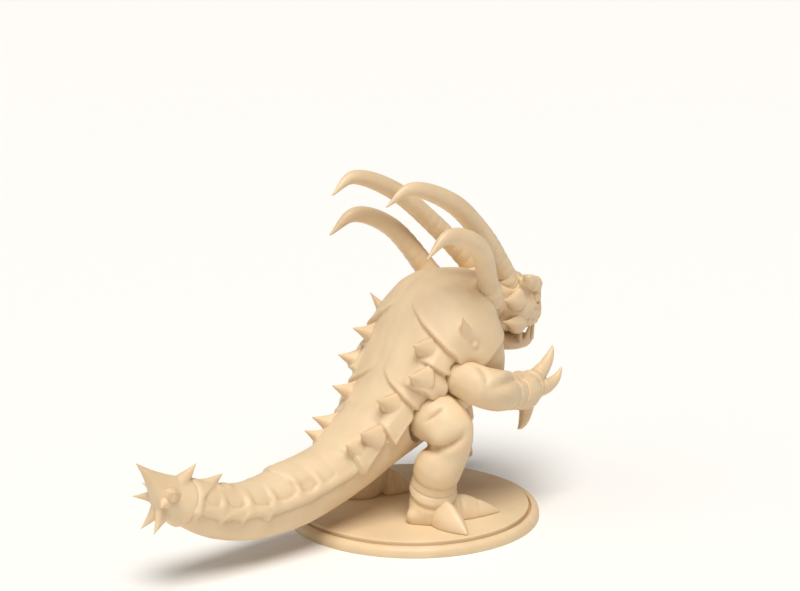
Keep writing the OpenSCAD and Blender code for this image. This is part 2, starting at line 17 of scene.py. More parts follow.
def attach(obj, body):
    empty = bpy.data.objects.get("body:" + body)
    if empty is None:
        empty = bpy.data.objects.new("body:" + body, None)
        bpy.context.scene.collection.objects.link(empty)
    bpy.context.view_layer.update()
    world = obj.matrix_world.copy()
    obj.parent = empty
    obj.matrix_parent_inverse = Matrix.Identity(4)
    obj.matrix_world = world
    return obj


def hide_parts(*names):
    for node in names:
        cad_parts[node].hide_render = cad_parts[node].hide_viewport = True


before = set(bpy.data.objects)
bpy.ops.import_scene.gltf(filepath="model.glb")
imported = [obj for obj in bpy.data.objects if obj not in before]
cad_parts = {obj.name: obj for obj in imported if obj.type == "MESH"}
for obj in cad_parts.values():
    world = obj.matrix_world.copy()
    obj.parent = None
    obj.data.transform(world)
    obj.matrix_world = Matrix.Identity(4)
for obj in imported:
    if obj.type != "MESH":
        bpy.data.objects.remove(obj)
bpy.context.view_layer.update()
MM = 0.001

# ---- camera ----

IMAGE_W, IMAGE_H = 800, 591
LONG_SIDE = max(IMAGE_W, IMAGE_H)
VIEW_TURN = -42.0  # degrees round the vertical, 0 looks along +Y
VIEW_RISE = 13.974  # degrees above the horizon
VIEW_RANGE = 400.0  # from the aim to the lens
VIEW_AIM = np.array([-1.92, 1.73, 44.54])
LENS, SENSOR = 92.96, 36.0
SHIFT_X, SHIFT_Y = 0.0, 0.0


def view_axes(turn, rise):
    """The camera's right, up and back axes"""
    a, e = math.radians(turn), math.radians(rise)
    right = np.array([math.cos(a), math.sin(a), 0])
    back = np.array([math.sin(a) * math.cos(e), -math.cos(a) * math.cos(e), math.sin(e)])
    return right, np.cross(back, right), back


RIGHT, UP, BACK = view_axes(VIEW_TURN, VIEW_RISE)
EYE = VIEW_AIM + VIEW_RANGE * BACK
lens_data = bpy.data.cameras.new("product_camera")
lens_data.lens, lens_data.sensor_width, lens_data.sensor_fit = LENS, SENSOR, "AUTO"
lens_data.shift_x, lens_data.shift_y = SHIFT_X, SHIFT_Y
lens_data.clip_start, lens_data.clip_end = 0.01, 20
camera = bpy.data.objects.new("product_camera", lens_data)
bpy.context.scene.collection.objects.link(camera)
view_turned = Matrix(np.column_stack([RIGHT, UP, BACK]).tolist()).to_4x4()
camera.matrix_world = Matrix.Translation(Vector(EYE * MM)) @ view_turned
bpy.context.scene.camera = camera

# Where things show in the photograph, in its frame's pixels: an edge has one number, a feature two.
# Those of the base, the toes and the tail set the camera.
POINTS = {
    "left_edge": (133, None), "right_edge": (559.5, None),
    "top_edge": (None, 166.5), "bottom_edge": (None, 557.5),
    "base_right_end": (537.8, 511), "near_toe_tip": (467, 531), "far_toe_tip": (502, 507),
    "collar_thorn_tip": (222, 474.5), "tail_cusp_rear": (220, 523.5), "tail_cusp_middle": (242, 524.6),
    "tail_cusp_front": (270, 521), "plate_thorn_1": (465, 330), "plate_thorn_2": (423.5, 350),
    "plate_thorn_3": (418, 380), "plate_thorn_4": (388, 406), "plate_thorn_5": (369, 439),
    "middle_plate_tip": (413, 411), "rear_plate_tip": (389, 441), "thigh_crease": (434.5, 415),
    "near_cuff": (428, 487),
}
shown = {}


def in_image(at):
    """Where points show in the photograph's frame"""
    at = np.atleast_2d(at) - EYE
    far = -(at @ BACK)
    scale = LONG_SIDE * LENS / SENSOR
    x = IMAGE_W / 2 - SHIFT_X * LONG_SIDE + scale * (at @ RIGHT) / far
    y = IMAGE_H / 2 + SHIFT_Y * LONG_SIDE - scale * (at @ UP) / far
    return np.column_stack([x, y])


def place(x, y, tree):
    """The point of a surface that shows at an image point, or the surface's nearest place to that ray"""
    across = x - IMAGE_W / 2 + SHIFT_X * LONG_SIDE
    rise = IMAGE_H / 2 - y + SHIFT_Y * LONG_SIDE
    way = across * RIGHT + rise * UP - LONG_SIDE * LENS / SENSOR * BACK
    way = Vector(way / np.linalg.norm(way))
    hit = tree.ray_cast(Vector(EYE), way)[0]
    if hit is None:
        reaches = np.arange(VIEW_RANGE - 100, VIEW_RANGE + 100, 1.0)
        tries = [tree.find_nearest(Vector(EYE) + way * t) for t in reaches]
        hit = min(tries, key=lambda found: found[3])[0]
    return np.array(hit)


# ---- working a surface ----


def only(piece):
    """Selects one piece and nothing else"""
    bpy.ops.object.select_all(action="DESELECT")
    piece.select_set(True)
    bpy.context.view_layer.objects.active = piece


def modify(piece, kind, **settings):
    """Adds a modifier with its settings and applies it"""
    only(piece)
    step = piece.modifiers.new(kind.lower(), kind)
    for name, value in settings.items():
        setattr(step, name, value)
    bpy.ops.object.modifier_apply(modifier=step.name)


def from_bmesh(name, bm):
    """A new object from a finished bmesh, which is freed"""
    mesh = bpy.data.meshes.new(name)
    bm.to_mesh(mesh)
    bm.free()
    piece = bpy.data.objects.new(name, mesh)
    bpy.context.scene.collection.objects.link(piece)
    return piece


def slice_off(bm, at, way):
    """Cuts a closed mesh at a plane, drops what lies beyond it and closes the cut"""
    bmesh.ops.bisect_plane(
        bm, geom=bm.verts[:] + bm.edges[:] + bm.faces[:], dist=1e-8,
        plane_co=Vector(at) * MM, plane_no=Vector(way), clear_outer=True,
    )
    bmesh.ops.holes_fill(bm, edges=[e for e in bm.edges if e.is_boundary], sides=0)
    bmesh.ops.recalc_face_normals(bm, faces=bm.faces[:])


def biggest_shell(bm):
    """Drops every shell but the one with the most points, such as the walls of hidden peg holes"""
    left, best = set(bm.verts), []
    while left:
        shell, edge = [], [left.pop()]
        while edge:
            point = edge.pop()
            shell.append(point)
            for link in point.link_edges:
                other = link.other_vert(point)
                if other in left:
                    left.discard(other)
                    edge.append(other)
        if len(shell) > len(best):
            best = shell
    keep = set(best)
    bmesh.ops.delete(bm, geom=[v for v in bm.verts if v not in keep], context="VERTS")


def remesh(piece, grain, relax, every_shell=False):
    """Even squares of grain millimetres over a closed shape, relaxed so that no facet of it shows"""
    modify(piece, "REMESH", mode="VOXEL", voxel_size=grain * MM, use_smooth_shade=True)
    if not every_shell:
        bm = bmesh.new()
        bm.from_mesh(piece.data)
        biggest_shell(bm)
        bm.to_mesh(piece.data)
        bm.free()
    if relax:
        modify(piece, "SMOOTH", factor=0.5, iterations=relax)


def clay(name, castings, grain, relax, cuts=(), every_shell=False):
    """A fresh skin over copies of CAD castings, cut free of their hidden pegs first"""
    bm = bmesh.new()
    for casting in castings:
        bm.from_mesh(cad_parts[casting].data)
    bmesh.ops.remove_doubles(bm, verts=bm.verts[:], dist=1e-8)
    for at, way in cuts:
        slice_off(bm, at, way)
    piece = from_bmesh(name, bm)
    remesh(piece, grain, relax, every_shell)
    return piece


def part_of(whole, name, cuts):
    """A copy of a piece between cutting planes, closed at each cut"""
    bm = bmesh.new()
    bm.from_mesh(whole.data)
    for at, way in cuts:
        slice_off(bm, at, way)
    return from_bmesh(name, bm)


def back_of(seam):
    """The same cutting plane, to keep its other side"""
    return seam[0], tuple(-c for c in seam[1])


def grab(piece):
    """A piece's points and normals, in millimetres"""
    count = len(piece.data.vertices)
    at, out = np.empty(count * 3), np.empty(count * 3)
    piece.data.vertices.foreach_get("co", at)
    piece.data.vertex_normals.foreach_get("vector", out)
    return at.reshape(-1, 3) / MM, out.reshape(-1, 3)


def put(piece, at):
    """Moves a piece's points to new places, in millimetres"""
    piece.data.vertices.foreach_set("co", (np.asarray(at) * MM).ravel())
    piece.data.update()


def tree_of(piece):
    """A search tree of a piece, in millimetres"""
    at, _ = grab(piece)
    return BVHTree.FromPolygons([Vector(p) for p in at], [tuple(f.vertices) for f in piece.data.polygons])


def other_side(piece, name):
    """A mirrored copy for the beast's other side"""
    bm = bmesh.new()
    bm.from_mesh(piece.data)
    for v in bm.verts:
        v.co.y = -v.co.y
    bmesh.ops.reverse_faces(bm, faces=bm.faces[:])
    return from_bmesh(name, bm)


def along(at, path):
    """How far each point lies from a line through the path, and where along it, from 0 to 1"""
    path = np.asarray(path, float)
    lengths = np.linalg.norm(np.diff(path, axis=0), axis=1)
    starts = np.concatenate([[0], np.cumsum(lengths)])
    far, share = np.full(len(at), 1e9), np.zeros(len(at))
    for a, b, start, length in zip(path[:-1], path[1:], starts, lengths):
        t = np.clip((at - a) @ (b - a) / length**2, 0, 1)
        d = np.linalg.norm(at - a - t[:, None] * (b - a), axis=1)
        near = d < far
        far[near], share[near] = d[near], (start + t[near] * length) / starts[-1]
    return far, share


def ease(x):
    """0 to 1, level at both ends"""
    x = np.clip(x, 0, 1)
    return x * x * (3 - 2 * x)


def swell(x, width):
    """1 at nought, falling softly away, nearly nothing at twice the width"""
    return np.exp(-((x / width) ** 2))


def furrow(at, out, path, depth, width, ends=0.2):
    """Presses a soft line into a surface, or raises one where depth is negative, fading at its ends"""
    far, share = along(at, path)
    fade = ease(np.minimum(share, 1 - share) / ends + 0.05)
    return at - out * (depth * swell(far, width) * fade)[:, None]


def both_sides(at, out, path, depth, width, ends=0.2):
    """The same furrow on both sides of the beast"""
    path = np.asarray(path, float)
    at = furrow(at, out, path, depth, width, ends)
    return furrow(at, out, path * [1, -1, 1], depth, width, ends)


def knoll(at, out, middle, height, width):
    """Raises a round swelling, or a pit where height is negative, on both sides of the beast"""
    for side in (-1, 1):
        far = np.linalg.norm(at - np.array(middle) * [1, side, 1], axis=1)
        at = at + out * (height * swell(far, width))[:, None]
    return at


def uneven(at, out, size, depth, seed):
    """The slight waviness of a hand-made master: swells of that size, that deep"""
    shift = Vector((seed * 7.3, seed * 3.1, seed * 5.7))
    lift = np.array([noise.noise(Vector(p) / size + shift) for p in at])
    return at + out * (lift * depth)[:, None]


def curve_through(points, per=10):
    """Points of a smooth curve through the given ones"""
    points = np.asarray(points, float)
    points = np.vstack([2 * points[0] - points[1], points, 2 * points[-1] - points[-2]])
    line = []
    for a, b, c, d in zip(points[:-3], points[1:-2], points[2:-1], points[3:]):
        for t in np.arange(per) / per:
            line.append(0.5 * (2 * b + (c - a) * t + (2 * a - 5 * b + 4 * c - d) * t**2
                               + (3 * b - a - 3 * c + d) * t**3))
    return np.array(line + [points[-2]])


def ways_along(line):
    """The way ahead at each point of a line"""
    return [line[min(k + 1, len(line) - 1)][:3] - line[max(k - 1, 0)][:3] for k in range(len(line))]


def lofted(name, rows, sides=20):
    """A closed skin over rings: middle, way along, way to the ridge, half width, half height, ridge share"""
    bm = bmesh.new()
    loops = []
    for middle, way, ridge_way, wide, tall, ridge in rows:
        way = np.asarray(way, float) / np.linalg.norm(way)
        top = np.asarray(ridge_way, float) - way * np.dot(ridge_way, way)
        top /= np.linalg.norm(top)
        side = np.cross(way, top)
        loop = []
        for k in range(sides):
            a = 2 * math.pi * k / sides
            lift = 1 + ridge * max(0.0, math.cos(a)) ** 8
            at = np.asarray(middle) + side * wide * math.sin(a) + top * tall * math.cos(a) * lift
            loop.append(bm.verts.new(Vector(at * MM)))
        loops.append(loop)
    for one, two in zip(loops[:-1], loops[1:]):
        for k in range(sides):
            bm.faces.new((one[k], one[(k + 1) % sides], two[(k + 1) % sides], two[k]))
    bm.faces.new(loops[0][::-1])
    bm.faces.new(loops[-1])
    bmesh.ops.recalc_face_normals(bm, faces=bm.faces[:])
    return from_bmesh(name, bm)


def thorn(root, tip, wide, bend=(0, 0, 0), sink=1.2, ridge=0.25, ridge_way=(0, 0, 1), flare=1.6, rings=14):
    """A thorn with a flared foot and a ridge along its upper side, bent away from a straight line"""
    root, tip, bend = (np.asarray(v, float) for v in (root, tip, bend))
    line = tip - root
    start = root - line / np.linalg.norm(line) * sink
    rows = []
    for k in range(rings):
        t = k / (rings - 1)
        middle = start + (tip - start) * t + bend * 4 * t * (1 - t)
        way = (tip - start) + bend * 4 * (1 - 2 * t)
        foot = math.sin(math.pi / 2 * min(1, 0.25 + t / 0.16))
        r = wide * ((1 - t) ** flare * 0.6 + (1 - t) * 0.4) * foot + 0.12
        rows.append((middle, way, ridge_way, r, r, ridge * (1 - t)))
    return lofted("thorn", rows)


def fuse(name, pieces):
    """Joins separate closed pieces into one object"""
    bm = bmesh.new()
    for piece in pieces:
        bm.from_mesh(piece.data)
        bpy.data.objects.remove(piece)
    return from_bmesh(name, bm)


# ---- the body's centre line, as in the CAD model: x, z, half width, rise over it, drop under it ----

SPINE = np.array([
    (-56, 15.4, 4.14, 4.26, 4.26), (-48.8, 11.8, 5.06, 5.06, 5.06), (-40, 10.2, 5.75, 5.75, 5.75),
    (-30, 11.2, 6.3, 6.3, 6.6), (-20, 13.98, 6.1, 5.78, 6.88), (-13.88, 17.83, 6.89, 5.5, 7.98),
    (-5.96, 23.88, 9.01, 7.15, 10.73), (3.04, 31.03, 11.66, 11.83, 13.75), (9.52, 36.53, 12.72, 13.75, 15.4),
    (13.84, 39, 9.67, 10.45, 12.38), (16, 39.55, 7.42, 7.98, 8.25), (23.5, 39.35, 8, 7, 6.16),
    (29.95, 35.75, 4.8, 3.78, 3.78),
])
spine_line = np.column_stack([SPINE[:, 0], np.zeros(len(SPINE)), SPINE[:, 1]])
spine_at = np.concatenate([[0], np.cumsum(np.linalg.norm(np.diff(spine_line, axis=0), axis=1))])


def spine_point(s):
    """The place at a distance along the body's centre line"""
    return np.array([np.interp(s, spine_at, spine_line[:, k]) for k in range(3)])


def spine_frame(s):
    """Centre, way along, way up, and the three half sizes of the body at a distance along its centre line"""
    ahead = spine_point(s + 2) - spine_point(s - 2)
    ahead /= np.linalg.norm(ahead)
    sizes = [np.interp(s, spine_at, SPINE[:, k]) for k in (2, 3, 4)]
    return spine_point(s), ahead, np.array([-ahead[2], 0, ahead[0]]), sizes


def unroll(at):
    """Each point's distance along the body's centre line, and its turn over the side in degrees"""
    _, share = along(at, spine_line)
    s = share * spine_at[-1]
    steps = np.linspace(0, spine_at[-1], 200)
    table = [spine_frame(step) for step in steps]
    centre, up = (np.array([row[k] for row in table]) for k in (0, 2))
    wide, over, under = (np.interp(s, steps, [row[3][k] for row in table]) for k in range(3))
    rise = (at[:, 0] - np.interp(s, steps, centre[:, 0])) * np.interp(s, steps, up[:, 0])
    rise += (at[:, 2] - np.interp(s, steps, centre[:, 2])) * np.interp(s, steps, up[:, 2])
    tall = np.where(rise > 0, over, under)
    turn = np.degrees(np.arctan2(rise / tall, np.abs(at[:, 1]) / wide))
    return s, turn


def on_body(tree, s, turn):
    """The point and normal of the skin of the body's right side, at a distance along it and a turn over it"""
    centre, _, up, (wide, over, under) = spine_frame(s)
    a = math.radians(turn)
    way = np.array([0, -wide * math.cos(a), 0]) + up * (over if turn > 0 else under) * math.sin(a)
    way /= np.linalg.norm(way)
    hit, normal, _, _ = tree.ray_cast(Vector(centre + way * 40), Vector(-way))
    return np.array(hit), np.array(normal)


# ---- materials ----


def paint(code):
    """An sRGB hex colour as Blender's linear one"""
    channels = [int(code[i:i + 2], 16) / 255 for i in (1, 3, 5)]
    return tuple(c / 12.92 if c <= 0.04045 else ((c + 0.055) / 1.055) ** 2.4 for c in channels) + (1.0,)


def node(tree, kind, links=(), values=(), stops=(), **settings):
    """Adds a node with its settings, input values, ramp stops and links: (input, node, output)"""
    added = tree.nodes.new("ShaderNode" + kind)
    for name, value in settings.items():
        setattr(added, name, value)
    for name, value in values:
        added.inputs[name].default_value = value
    for k, (position, colour) in enumerate(stops):
        added.color_ramp.elements[k].position, added.color_ramp.elements[k].color = position, colour
    for socket, source, output in links:
        tree.links.new(source.outputs[output], added.inputs[socket])
    return added


WHITE, BLACK = (1, 1, 1, 1), (0, 0, 0, 1)
MOTTLE_MM = 6  # clouds of the cast colour
LIGHT_DEPTH_MM = 1.2  # how far light enters, the red of it the furthest


# deep is the colour of the painted shade laid into recesses
def resin(name, grain_mm, grain_depth_mm, rough, deep="#b97d49", high="#e8cfa9", base="#e0c59f"):
    """Cream casting resin, IOR 1.5, satin from its mould: an even, slightly waxy plastic that light enters
    a little way, so its shadows turn warm. Recesses are painted a shade deeper: painted shade, from the
    surface's curvature.
    The mould's real tooth is too fine to show, so it is drawn grain_mm coarse."""
    cast = bpy.data.materials.new(name)
    cast.use_nodes = True
    tree = cast.node_tree
    tree.nodes.clear()
    where = node(tree, "TexCoord")
    cloud = node(tree, "TexNoise", [("Vector", where, "Object")],
                 [("Scale", 1 / (MOTTLE_MM * MM)), ("Detail", 3)], noise_dimensions="3D")
    tint = node(tree, "ValToRGB", [("Fac", cloud, "Fac")], stops=[(0.3, paint(base)), (0.7, paint(high))])
    # painted shade: recesses coloured a shade deeper, from the surface's own curvature
    curve = node(tree, "NewGeometry")
    painted_shade_mask = node(tree, "ValToRGB", [("Fac", curve, "Pointiness")], stops=[(0.40, WHITE), (0.50, BLACK)])
    shade = node(tree, "Mix", [("Factor", painted_shade_mask, "Color"), ("A", tint, "Color")], [("B", paint(deep))],
                 data_type="RGBA", blend_type="MIX")
    grain = node(tree, "TexNoise", [("Vector", where, "Object")],
                 [("Scale", 1 / (grain_mm * MM)), ("Detail", 4)], noise_dimensions="3D")
    tooth = node(tree, "Bump", [("Height", grain, "Fac")],
                 [("Distance", grain_depth_mm * MM), ("Strength", 1.0)])
    shader = node(tree, "BsdfPrincipled", [("Base Color", shade, "Result"), ("Normal", tooth, "Normal")], [
        ("Roughness", rough), ("IOR", 1.5), ("Subsurface Weight", 0.25),
        ("Subsurface Radius", (1.0, 0.45, 0.22)), ("Subsurface Scale", LIGHT_DEPTH_MM * MM),
    ])
    node(tree, "OutputMaterial", [("Surface", shader, "BSDF")])
    return cast


# the sculpted hide is the most matt, horns and claws a little glossier, the eyes smooth, the base plain
SKIN = resin("cast_resin_hide", 0.55, 0.018, 0.5)
SMOOTH = resin("cast_resin_smooth", 0.3, 0.006, 0.45)
HORN = resin("cast_resin_horn", 0.4, 0.012, 0.42)
BASE = resin("cast_resin_base", 0.35, 0.006, 0.48, base="#dfc49c", high="#e6cda7")

finished = {}  # every finished piece by its name


def finish_piece(piece, material, *castings, sharp=40):
    """Shades a piece, gives it its material and hides the CAD castings it stands for"""
    only(piece)
    bpy.ops.object.shade_smooth_by_angle(angle=math.radians(sharp))
    piece.data.materials.clear()
    piece.data.materials.append(material)
    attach(piece, "root")
    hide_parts(*castings)
    finished[piece.name] = piece


def finish_pair(piece, material, casting, sharp=40):
    """Finishes a right piece and its mirrored copy, the left one"""
    twin = other_side(piece, piece.name.replace("right", "left"))
    finish_piece(piece, material, casting, sharp=sharp)
    finish_piece(twin, material, casting.replace("right", "left"), sharp=sharp)


# ---- the hide: skull, torso and tail are worked as one, then parted at the castings' seams ----

TAIL_SEAM = ((-40, 0, 10.2), (0.9995, 0, -0.0303))
RUMP_SEAM = ((-20, 0, 13.975), (0.9242, 0, 0.3819))
NECK_SEAM = ((16, 0, 39.55), (0.9931, 0, 0.1169))
HIDE_GRAIN = 0.27

hide = clay("hide", ["skull", "torso", "tail_front", "tail_rear"], HIDE_GRAIN, 45)
at, out = grab(hide)
s, turn = unroll(at)
# the casting's plain crest spike is pressed flat, a flared thorn takes its place
spine_far, _ = along(at, spine_line)
skin_far = np.interp(s, spine_at, SPINE[:, 3])
crest = (s < 14) & (turn > 40) & (spine_far > skin_far * 1.04)
for k in np.flatnonzero(crest):
    centre, _, _, _ = spine_frame(s[k])
    at[k] = centre + (at[k] - centre) * (1.02 * skin_far[k] / spine_far[k])
put(hide, at)
modify(hide, "SMOOTH", factor=0.5, iterations=6)
at, out = grab(hide)

# the tail's shell, scalloped along its lower edge: distance along the body, turn over its side
SCALLOPS = np.array([
    (-6, -16), (1, -16), (1.8, -8), (3.5, -6), (5.2, -8), (6.1, -14), (6.9, -3), (8.3, 3), (9.7, -1),
    (10.5, -9), (11.4, 0), (13, 5.5), (15, 3), (16.3, -4.5), (17, 6), (20, 4.5), (24, 4.5), (29, 6),
    (32, 3), (36, 1), (46, 0),
])
# the row of cups over the scallops: distance, turn of the lower edge, half width, depth
CUPS = [(3.2, 15, 2.1, 0.4), (8.9, 20, 2.9, 0.6), (15.4, 21, 2.9, 0.65), (21.2, 20, 2.6, 0.6),
        (26.6, 18, 2.5, 0.5), (31.6, 17, 2.2, 0.25)]
# the peaks between the cups: distance, turn
PEAKS = [(5.7, 30), (12.1, 36), (18.3, 36), (23.9, 33), (29.2, 30)]
# the cusps between the scallops: distance, turn
CUSPS = {"rear": (6.1, -12), "middle": (10.5, -7), "front": (16.3, -3)}

low = np.interp(s, *SCALLOPS.T)
on_tail = 1 - ease((s - 37) / 7)
lift = (ease((turn - low) / 2.4) - 0.5) * 0.6 + 0.25 * swell(turn - low - 9, 8)
for cup_s, low_turn, half, deep in CUPS:  # crisp along their round lower edges, fading upwards
    beside = np.abs(s - cup_s) / half
    over = turn - low_turn - 10 * np.clip(beside, 0, 1) ** 2.5
    lift -= deep * ease(over / 6) * np.exp(-np.clip(over, 0, None) / 24) * ease((1.08 - beside) / 0.45)
for peak_s, peak_turn in PEAKS:
    lift += 0.35 * swell(s - peak_s, 0.7) * swell(turn - peak_turn + 4, 14)
# the collar at the knob, and the shell's raised step across the top of the tail
collar = np.interp(turn, [-90, -18, 29, 60, 90], [1.4, 1.4, 1.2, 3.4, 6.2])
lift += 0.42 * ease((collar - s) / 0.4) * ease((turn + 30) / 12)
crease = np.interp(turn, [35, 90], [23.4, 21.8])
lift += 0.4 * ease((turn - 36) / 12) * ease((s - crease) / 0.35) * (1 - ease((s - crease) / 8))
at = at + out * (lift * on_tail)[:, None]
for name, (cusp_s, cusp_turn) in CUSPS.items():
    near = np.argmin((s - cusp_s) ** 2 + ((turn - cusp_turn) / 9) ** 2 + 100 * (at[:, 1] > 0))
    shown["tail_cusp_" + name] = ("tail_rear_hide", at[near])

# the head, all of it on both sides. Swells, and hollows where the height is negative: middle, height, width
HEAD_SWELLS = [
    ((24.6, 7.5, 42), -0.7, 2.0), ((22.4, 8.5, 38.6), 0.5, 2.0), ((28.6, 6.5, 36.6), 0.5, 1.6),
    ((20.9, 7.5, 43.8), -0.5, 1.5), ((32.6, 2.2, 38.4), 0.65, 1.2), ((33.2, 2.4, 38.6), -1.5, 0.5),
    ((19.9, 7.4, 41.4), 0.5, 2.2), ((20.5, 7, 36.8), 0.5, 2.2), ((33.5, 0, 36.6), -0.25, 1.2),
]
# lines pressed in, or raised where the depth is negative: path, depth, width, share that fades at the ends
HEAD_LINES = [
    ([(22.2, 5.6, 44.8), (24.6, 6.3, 44.6), (26.8, 5.8, 43.5), (28.7, 4.5, 42), (30.4, 2.6, 40.6)],
     -0.8, 1.4, 0.3),  # the fleshy brow
    ([(34, 0.2, 35.3), (32.5, 3.4, 35.1), (29.5, 6.4, 35.2), (25.5, 8.5, 35.8), (22, 9, 36.8)],
     0.4, 0.35, 0.2),  # over the lip
]
for k in range(3):  # wrinkles across the snout
    x, z = 31.9 - k * 1.25, 39.3 + k * 0.75
    HEAD_LINES.append(([(x, 1.2, z + 0.9), (x + 0.3, 3.0, z), (x - 0.2, 4.6, z - 1.4)], 0.3, 0.3, 0.4))
HEAD_LINES += [
    ([(26.2, 8, 38.9), (27.8, 7, 38.3), (29.4, 6, 39), (30, 4.6, 40)], 0.3, 0.35, 0.2),  # under the eye
    ([(17.2, 9, 35.5), (17.6, 10, 39), (18.2, 7, 43.5)], 0.5, 0.7, 0.2),  # behind the cheek
]
LIP_SCALES = [(34, 0.9, 34.2), (33.4, 2.5, 34.1), (32.2, 4.0, 34.0), (30.7, 5.4, 34.1), (29.1, 6.6, 34.2),
              (27.4, 7.6, 34.5), (25.7, 8.3, 34.9)]
CHEEK_SCALES = [(24.9, 9, 37.4), (23.3, 9.4, 37.5), (21.9, 9.5, 38.4), (23.1, 9.3, 39.1), (24.5, 8.9, 38.9),
                (21.6, 9, 40.1), (22.9, 8.8, 40.6)]
CROWN_SCALES = [(24.5, 0, 48), (26.2, 0, 47), (27.8, 0, 45.6), (29.2, 0, 44), (30.5, 0, 42.5),
                (31.7, 0, 40.8)]
# the welt round each horn's root: middle, radius, width
HORN_WELTS = [((20.5, 4.16, 45.15), 3.1, 0.8), ((12.6, 8, 44.2), 3.0, 1.0)]
EYE_X, EYE_Y, EYE_Z = 27.7, 5.28, 40.75
head_tree = tree_of(hide)


def on_head(points, per=0):
    """The skin's places nearest to given ones, or to a curve through them"""
    points = curve_through(points, per) if per else np.asarray(points, float)
    return np.array([head_tree.find_nearest(Vector(p))[0] for p in points])


for middle, height, width in HEAD_SWELLS:
    at = knoll(at, out, on_head([middle])[0], height, width)
for path, depth, width, ends in HEAD_LINES:
    at = both_sides(at, out, on_head(path, 4), depth, width, ends)
for scales, height, width in ((LIP_SCALES, 0.4, 0.65), (CHEEK_SCALES, 0.28, 0.6)):
    for scale in on_head(scales):
        at = knoll(at, out, scale, height, width)
for k, scale in enumerate(on_head(CROWN_SCALES)):
    at = knoll(at, out, scale, 0.2, 0.75)
    if k < 4:
        at = knoll(at, out, on_head([scale + [0.8, 1.7, 1]])[0], 0.3, 0.62)
for side in (-1, 1):
    for middle, radius, width in HORN_WELTS:
        horn_far = np.linalg.norm(at - np.array(middle) * [1, side, 1], axis=1)
        at = at + out * (0.7 * swell(horn_far - radius, width))[:, None]
eye_far = np.linalg.norm(at - np.where(at[:, 1:2] > 0, 1, -1) * [0, EYE_Y, 0] - [EYE_X, 0, EYE_Z], axis=1)
at = at + out * (0.4 * swell(eye_far - 2.15, 0.4))[:, None]
at = uneven(at, out, 9, 0.12, 1)
put(hide, at)
collar_thorn = thorn((-53.0, 0, 16.9), (-46.7, 0, 19.1), 2.9, bend=(-0.1, 0, -0.3), sink=1.5, ridge=0.2,
                     ridge_way=(-0.4, 0, 1), flare=1.15)
hide = fuse("hide", [hide, collar_thorn])
remesh(hide, HIDE_GRAIN, 2)
shown["collar_thorn_tip"] = ("tail_rear_hide", (-46.7, 0, 19.0))
hide_tree = tree_of(hide)

for casting, cuts in (
    ("skull", [back_of(NECK_SEAM)]),
    ("torso", [NECK_SEAM, back_of(RUMP_SEAM)]),
    ("tail_front", [RUMP_SEAM, back_of(TAIL_SEAM)]),
    ("tail_rear", [TAIL_SEAM]),
):
    finish_piece(part_of(hide, casting + "_hide", cuts), SKIN, casting)
bpy.data.objects.remove(hide)

# ---- flank plates: six lapped shells a side, each with a thorn, smooth into the back ----

# each plate's rear edge from the ridge to its tip: turn over the side, distance along the body
REARS = [
    [(95, 72.5), (89, 71.3), (75, 69.1), (61, 67.4), (46, 66.4), (30, 65.9), (6, 66.6), (-25, 68)],
    [(60, 60.8), (42, 61.5), (19, 62.2), (8, 62.8), (-25, 64)],
    [(60, 55.8), (36, 56.5), (19, 57.5), (3, 58.5), (-25, 60)],
    [(95, 60), (88, 57.5), (64, 55), (37, 53.9), (10, 53.9), (-25, 54.4)],
    [(60, 47.8), (40, 47.5), (10, 46.6), (-25, 46.2)],
    [(60, 40.2), (28, 38.6), (5, 38.2), (-25, 38)],
]
# how proud each rear edge stands: turn over the side, millimetres
RISES = [
    [(-25, 1.05), (38, 1.2), (62, 0.7), (78, 0.25), (88, 0)],
    [(-25, 1.15), (34, 1.1), (50, 0)],
    [(-25, 1.15), (34, 1.1), (50, 0)],
    [(-25, 1.05), (34, 1.05), (58, 0.6), (80, 0.3), (90, 0)],
    [(-25, 1), (28, 0.95), (46, 0)],
    [(-25, 0.8), (22, 0.6), (42, 0)],
]
# the shells' lower edge, tip by tip: distance along the body, turn
LOWER = [
    (37, 6), (38.4, -4), (42, 1), (45.9, 5), (46.8, -5), (50, 0), (53.3, 6), (54.1, -4), (56, 2), (57.6, 7),
    (58.4, -4), (60.5, 4), (62, 8), (62.7, 2), (64.6, 6), (66.2, 8), (66.9, -7), (69.5, -8), (72.4, -10),
    (76, -13), (79.5, -17), (81, -17),
]
# each plate's thorn, front to rear: lean, height, foot's width, size, shift to the photograph's left
PLATE_THORNS = [
    ((-1.1, 0, 2.6), 1.7, 1.6, 1.1, 0.6), ((-2.7, 0, 1.2), 1.9, 2.8, 1.0, 0),
    ((-2.7, 0, 1.2), 1.5, 2.8, 1.0, 0), ((-2.7, 0, 1.2), 1.9, 2.8, 1.0, 0),
    ((-2.7, 0, 1.2), 1.9, 2.8, 1.0, 0), ((-2.7, 0, 1.2), 1.9, 2.8, 0.85, 0),
]
REAR_THORN = (39.9, 41)  # the last one's distance along the body and turn: the others have image points
BOSS = (473, 344.5)  # where the small round boss beside the front thorn shows in the photograph
PLATE_WALL = 1.3


def rows_of(table):
    """A table's two columns in rising order, for interpolation"""
    table = sorted(table)
    return [row[0] for row in table], [row[1] for row in table]


